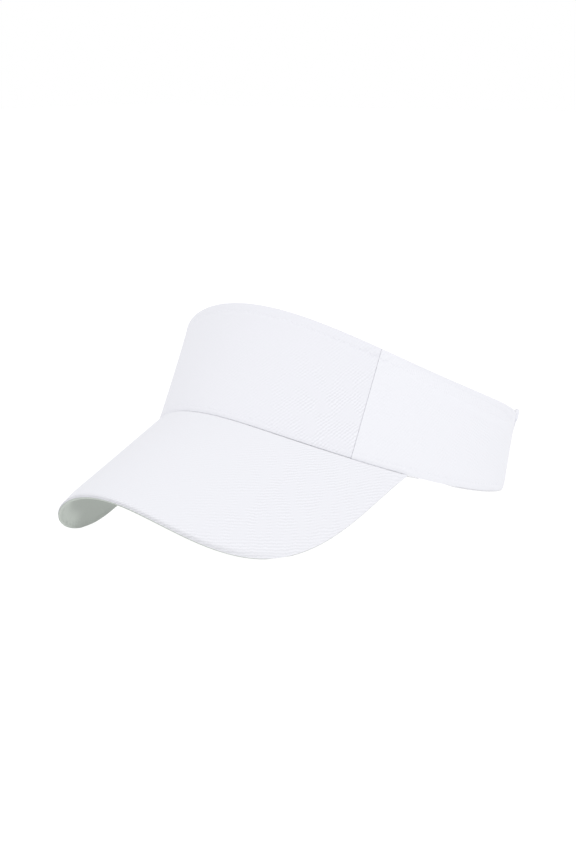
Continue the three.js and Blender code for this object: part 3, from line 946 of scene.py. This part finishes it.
def under_outline(reach, length):
    """The under cover: up round the lower part of the rim to the seam, and back under the bill."""
    gap, far = bill_edges(reach, length)
    over_v, over_d = rim_turn(far, RIM_SEAM + 0.03, math.pi, 0, 9)
    back_v = mix(far, gap, spread(0, 1, 36)[:, 1:])
    home_v = mix(gap, far, spread(0, 1, 10)[:, :-1])
    in_v, in_d = rim_turn(far, math.pi, RIM_SEAM + 0.03, PLY * 0.7, 6)
    return (in_a_row(over_v, back_v, home_v, in_v),
            in_a_row(over_d, STACK + 0 * back_v, STACK - PLY + 0 * home_v, in_d))


def board_outline(reach, length):
    """The board between the covers, with rounded edges."""
    gap = np.minimum(0.45 / np.maximum(length, 1e-6), 0.3)
    far = np.maximum(1 - BOARD_INSET / np.maximum(reach, 1e-6), gap + 0.03)
    step = np.minimum(BOARD_THICK / 2 / np.maximum(reach, 1e-6), (far - gap) / 3)
    v, side = slab(gap, far, step, 30)
    return v, STACK / 2 - BOARD_THICK / 2 * side + 0 * v


def bill_cover(name, outline, rows, start, *looks):
    """A cover of the bill. It also carries the map that the painted shade and painted light along the rim
    follow.
    """
    rings, cloth, edge = bill_rings(outline, rows, start)
    piece = finish(loft(name, rings, cloth), *looks)
    add_map(piece.data, "edge", edge)
    return piece


bill_top = bill_cover("bill_twill_top", cover_outline, 360, 0.012,
                      BILL_TWILL, "white_twill", "bill_cover_top")
bill_under = bill_cover("bill_twill_under", under_outline, 300, 0.03,
                        UNDER_TWILL, "under_twill", "bill_cover_under")
rings, cloth, _ = bill_rings(board_outline, 90, 0.16, soft=False)
board = finish(loft("bill_board_ply", rings, cloth), BOARD, "board_plastic", "bill_board")

# ---- Closure ----
ROOT = FULL - TAIL - 0.005
TIP_TOP, TIP_FOOT = 2.43, 2.62  # angles at which the corners of the strap's slanted tip lie
STRAP_WIDTH, STRAP_THICK = 26.5, 1.3
STRAP_HEM = 2.4  # mm from the strap's edges to its stitches
DRAWN_IN = 0.24  # mm that the stitches draw each face in
TIP_TUCK = 0.45  # mm that the strap's tip is pressed in
TIP_FLARE = 0.2  # mm that the strap's upper corner stands away from the band
LIFT_ROOT, LIFT_TAPES, LIFT_TIP = -1.0, 2.3, 0.9  # mm from the wall to the strap's inner face


def strap_foot(t):
    return 4.5 + 12.9 * ease(-t, -math.pi, -TIP_TOP)


def up_strap(rise):
    """Heights on the band that are so far above the strap's foot."""
    return lambda t: strap_foot(t) + rise


def strap_lift(t):
    over_gap = ease(-t, -ROOT + 0.05, -2.99)
    past_tapes = ease(-t, -2.66, -TIP_TOP)
    return mix(LIFT_ROOT, mix(LIFT_TAPES, LIFT_TIP, past_tapes), over_gap)


def strap_edges(t):
    slant = np.clip((TIP_FOOT - t) / (TIP_FOOT - TIP_TOP), 0, 1)
    left_over = np.clip(1 - (t - TIP_TOP) / 0.05, 0, 1)
    low = strap_foot(t) + (STRAP_WIDTH - 6) * slant
    high = strap_foot(t) + STRAP_WIDTH - 3 * (1 - np.sqrt(1 - left_over**2))
    return low, high


def tip_lean(t, h, outer=1.0):
    """How far out the strap's tip leans: only the upper corner of its outer face stands away."""
    near_tip = 1 - ease(t, TIP_TOP, TIP_TOP + 0.2)
    corner = mix(-TIP_TUCK, TIP_FLARE, outer)
    return near_tip * mix(-TIP_TUCK, corner, ease(h - strap_edges(t)[1], -7.5, -2.0))


def strap():
    t, s = columns(TIP_TOP, ROOT, 0.6)
    tt = t[:, None]
    low, high = strap_edges(tt)
    h, side = slab(low, high, 0.55, 30, 9)
    pinch = (DRAWN_IN - 0.02) * bell(np.minimum(h - low, high - h) - STRAP_HEM, 0.8) + 0.02
    from_end = np.minimum(s, s[-1] - s)[:, None]
    round_end = np.sqrt(np.clip(1 - (1 - np.clip(from_end / 0.6, 0, 1)) ** 2, 0.02, 1))
    half = STRAP_THICK / 2
    out = strap_lift(tt) + half + side * (half - pinch) * round_end + tip_lean(tt, h, (1 + side) / 2)
    return loft("nape_strap", wall(tt, h, out), cloth_map(s, h))


strap_piece = finish(strap(), SIDE_TWILL, "white_twill", "closure_strap", body=None)


def patch(name, first, last, inner, outer, inset):
    return wall_sheet(name, first, last, up_strap(inset), up_strap(STRAP_WIDTH - inset), inner, outer,
                      fine=0.6, rows=20)


LOOP_FACE, HOOK_FACE = 0.75, 1.65
loop = finish(patch("loop_base", 2.66, 2.95, 0.25, LOOP_FACE, 3.0), PILE, "loop_pile", "loop_tape")
hook = finish(patch("hook_base", 2.70, 2.91, HOOK_FACE, 2.1, 4.5), NYLON, "hook_plastic",
              "hook_tape", body="strap")


def patch_spots(first, last, inset, pitch, wander, seed):
    """Places all over a patch, in rows, each a little off its row."""
    draw = np.random.default_rng(seed)
    turn = pitch / AROUND
    t, place = np.meshgrid(np.arange(first, last, turn), np.arange(0, STRAP_WIDTH, pitch), indexing="ij")
    t, place = (a.ravel() + draw.uniform(-wander, wander, a.size) * step
                for a, step in ((t, turn), (place, pitch)))
    kept = (t > first) & (t < last) & (place > inset) & (place < STRAP_WIDTH - inset)
    return t[kept], strap_foot(t[kept]) + place[kept], draw


def loops():
    """The loop tape's pile: a small crooked loop of fibre at every spot."""
    t, h, draw = patch_spots(2.665, 2.945, 3.5, 0.62, 0.4, 31)
    turn = draw.uniform(0, math.pi, t.size)
    height = draw.uniform(0.3, 0.55, t.size)
    a = np.linspace(0, math.pi, 7)
    foot = wall(t, h, LOOP_FACE - 0.05)
    up = wall_normal(t, h)
    along = unit(wall(t + STEP, h, 0.0) - wall(t - STEP, h, 0.0))
    flat = along * np.cos(turn)[:, None] + np.cross(up, along) * np.sin(turn)[:, None]
    spines = (foot[:, None] + flat[:, None] * (0.3 * np.cos(a))[:, None]
              + up[:, None] * (height[:, None] * np.sin(a))[..., None])
    return tubes("pile_loops", spines, np.cross(flat, up), np.full(7, 0.055))


def hooks():
    """The hook tape's hooks: stalks in rows, each bent over at its end."""
    t, h, draw = patch_spots(2.71, 2.90, 5.2, 1.0, 0.05, 32)
    foot = wall(t, h, HOOK_FACE + 0.05)
    down = -wall_normal(t, h)
    along = unit(wall(t + STEP, h, 0.0) - wall(t - STEP, h, 0.0)) * draw.choice([-1, 1], t.size)[:, None]
    reach = np.array([0, 0, 0.02, 0.1, 0.2, 0.24, 0.2])
    height = np.array([0, 0.14, 0.28, 0.37, 0.36, 0.28, 0.21])
    spines = foot[:, None] + along[:, None] * reach[:, None] + down[:, None] * height[:, None]
    radii = np.array([0.09, 0.08, 0.07, 0.06, 0.06, 0.05, 0.04])
    return tubes("nylon_hooks", spines, np.cross(along, down), radii)


pile = finish(loops(), PILE, "loop_pile")
hook_rows = finish(hooks(), NYLON, "hook_plastic", body="strap")

# ---- Care label ----
LABEL_ENDS = (1.89, 2.11)  # angles on the band
LABEL_FOOT, LABEL_TOP = 6.0, 21.0
LABEL_OUT = -4.3


def label_relief(t, h, foot, top):
    return -0.35 * ease(top - h, 6, 15) ** 2


label = finish(
    wall_sheet("satin_label", *LABEL_ENDS, constant(LABEL_FOOT), constant(LABEL_TOP), LABEL_OUT,
               LABEL_OUT + 0.22, fine=0.5, relief=label_relief),
    SATIN, "satin_label", "care_label", body="label")

# ---- Seams ----


def on_panel(t, h):
    """Just over the panels' faces, whichever panel is at angle t."""
    on_front, on_left, on_right = (band_relief(t, h, seed) for seed in SEEDS)
    return np.where(np.abs(t) < SEAM, on_front, np.where(t > 0, on_left, on_right)) - 0.02


WHOLE = (0.03 - TAIL, TAIL - 0.03)
panel_rows = [along_wall(top_row, *WHOLE, top_height, on_panel),
              along_wall(foot_row, *WHOLE, constant(FOOT_ROW_RISE), on_panel)]
panel_rows += [up_wall(side * (TAIL - 0.028), 6.0, wall_top(TAIL) - 6.5, on_panel) for side in (-1, 1)]
finish(stitches("outer_stitches", *joined(*panel_rows)), THREAD, "white_twill")

hem_row = Row(-TAIL, TAIL, hem_height)


def on_sweatband(t, h):
    return SWEAT_FACE + sweat_relief(t, h) + 0.02


inner_rows = [along_wall(top_row, *WHOLE, top_height, constant(-2.14), -1),
              along_wall(hem_row, *WHOLE, hem_height, on_sweatband, -1)]
for seam in (-SEAM, SEAM):
    for t in (seam - 0.042, seam + 0.042):
        inner_rows.append(up_wall(t, band_top(seam) + 1.5, wall_top(t) - 12.2, constant(TAPE_BACK), -1))
finish(stitches("inner_stitches", *joined(*inner_rows)), THREAD, "lining_cloth")

strap_row = Row(TIP_TOP, ROOT, strap_foot)


def on_strap(t, h):
    return strap_lift(t) + STRAP_THICK - DRAWN_IN + tip_lean(t, h)


strap_rows = [along_wall(strap_row, TIP_FOOT + 0.02, ROOT - 0.03, up_strap(STRAP_HEM), on_strap),
              along_wall(strap_row, TIP_TOP + 0.06, ROOT - 0.03, up_strap(STRAP_WIDTH - STRAP_HEM), on_strap)]
strap_seams = finish(stitches("strap_stitches", *joined(*strap_rows)), THREAD, "white_twill",
                     body=None)

on_patch = constant(LOOP_FACE + 0.02)
patch_rows = [along_wall(strap_row, 2.675, 2.935, up_strap(rise), on_patch)
              for rise in (4.2, STRAP_WIDTH - 4.2)]
patch_rows += [up_wall(t, strap_foot(t) + 4.7, strap_foot(t) + STRAP_WIDTH - 4.7, on_patch)
               for t in (2.672, 2.938)]
finish(stitches("patch_stitches", *joined(*patch_rows)), THREAD, "loop_pile")

seam_height = constant(LABEL_TOP - 1)
label_seam = along_wall(Row(*LABEL_ENDS, seam_height), 1.9, 2.1, seam_height, constant(LABEL_OUT), -1)
finish(stitches("label_stitches", *label_seam), THREAD, "satin_label", body="label")

# ---- Floor, light and camera ----
bpy.ops.mesh.primitive_plane_add(size=12, location=(0, 0, -0.0004))
floor = bpy.context.object
floor.name = "floor"
floor_finish = bpy.data.materials.new("floor_white")
floor_finish.use_nodes = True
shader = floor_finish.node_tree.nodes["Principled BSDF"]
shader.inputs["Base Color"].default_value = (0.12, 0.12, 0.12, 1)
shader.inputs["Roughness"].default_value = 0.9
shader.inputs["Emission Color"].default_value = (1, 1, 1, 1)
shader.inputs["Emission Strength"].default_value = 0.93
floor.data.materials.append(floor_finish)

world = bpy.data.worlds.new("studio")
bpy.context.scene.world = world
world.use_nodes = True
world.node_tree.nodes["Background"].inputs["Color"].default_value = (1, 1, 1, 1)
world.node_tree.nodes["Background"].inputs["Strength"].default_value = 1.0


def soft_light(name, place, size, power):
    data = bpy.data.lights.new(name, "AREA")
    data.shape = "DISK"
    data.size = size
    data.energy = power
    lamp = bpy.data.objects.new(name, data)
    lamp.location = place
    lamp.rotation_mode = "QUATERNION"
    lamp.rotation_quaternion = (Vector((0, 0, 0.05)) - Vector(place)).to_track_quat("-Z", "Y")
    bpy.context.scene.collection.objects.link(lamp)


soft_light("key", (1.9, -0.1, 1.0), 1.2, 1.5)
soft_light("top", (1.0, -0.75, 1.75), 1.2, 4.6)

AZIMUTH, ELEVATION, TILT = (math.radians(a) for a in (40.808, 8.59, -0.374))
DISTANCE, LENS = 1325.15, 105.62
TARGET = np.array([0.0, -30.0, 50.0]) + SHIFT
back = np.array([math.sin(AZIMUTH) * math.cos(ELEVATION), -math.cos(AZIMUTH) * math.cos(ELEVATION),
                 math.sin(ELEVATION)])
level_right = np.array([math.cos(AZIMUTH), math.sin(AZIMUTH), 0.0])
level_up = np.cross(back, level_right)
camera_right = level_right * math.cos(TILT) + level_up * math.sin(TILT)
camera_up = level_up * math.cos(TILT) - level_right * math.sin(TILT)
cam_data = bpy.data.cameras.new("camera")
camera = bpy.data.objects.new("camera", cam_data)
bpy.context.scene.collection.objects.link(camera)
camera.matrix_world = Matrix.Translation(Vector(((TARGET + back * DISTANCE) * MM).tolist())) @ Matrix(
    np.stack([camera_right, camera_up, back], 1).tolist()).to_4x4()
cam_data.sensor_width = 36
cam_data.lens = LENS
cam_data.shift_x, cam_data.shift_y = -0.00899, -0.01237
cam_data.clip_start, cam_data.clip_end = 0.01, 50
bpy.context.scene.camera = camera
bpy.context.scene.view_settings.view_transform = "Standard"

# ---- The strap's pieces, with their place baked into their meshes ----
for piece in (strap_piece, strap_seams):
    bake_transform(piece)
